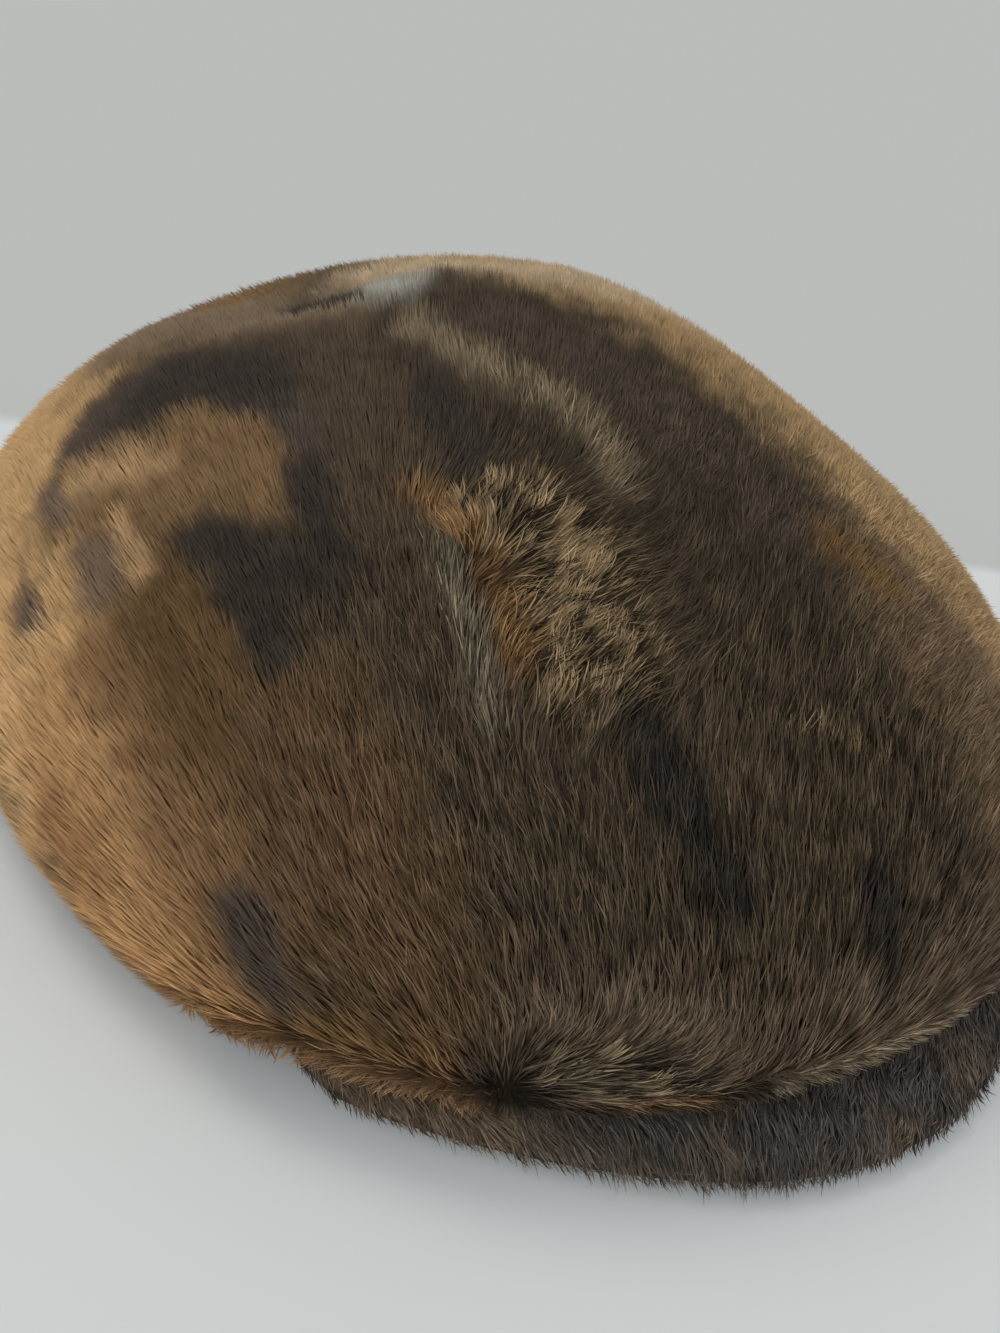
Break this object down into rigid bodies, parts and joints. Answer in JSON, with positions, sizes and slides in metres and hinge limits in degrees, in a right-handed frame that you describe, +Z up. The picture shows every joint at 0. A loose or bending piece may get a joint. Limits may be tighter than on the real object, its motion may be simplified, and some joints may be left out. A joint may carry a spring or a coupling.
{
  "type": "fur flat cap",
  "caption": "Flat cap of short brown fur lying on a table: a hollow domed crown whose front lip overhangs a fur covered peak.",
  "frame": {"origin": "on the table, under the middle of the cap's bounding box", "axes": "+Z up, the cap's front with the peak toward -Y, the wearer's left toward +X"},
  "size_m": [0.2344, 0.2894, 0.0968],
  "materials": {
    "crown_fur": "short dense brown fur with dark, grey, straw and orange tan patches",
    "peak_fur": "short dense dark brown fur with a lighter fuzzy edge"
  },
  "bodies": {
    "root": {"crown": "crown_fur", "peak": "peak_fur"}
  },
  "joints": []
}
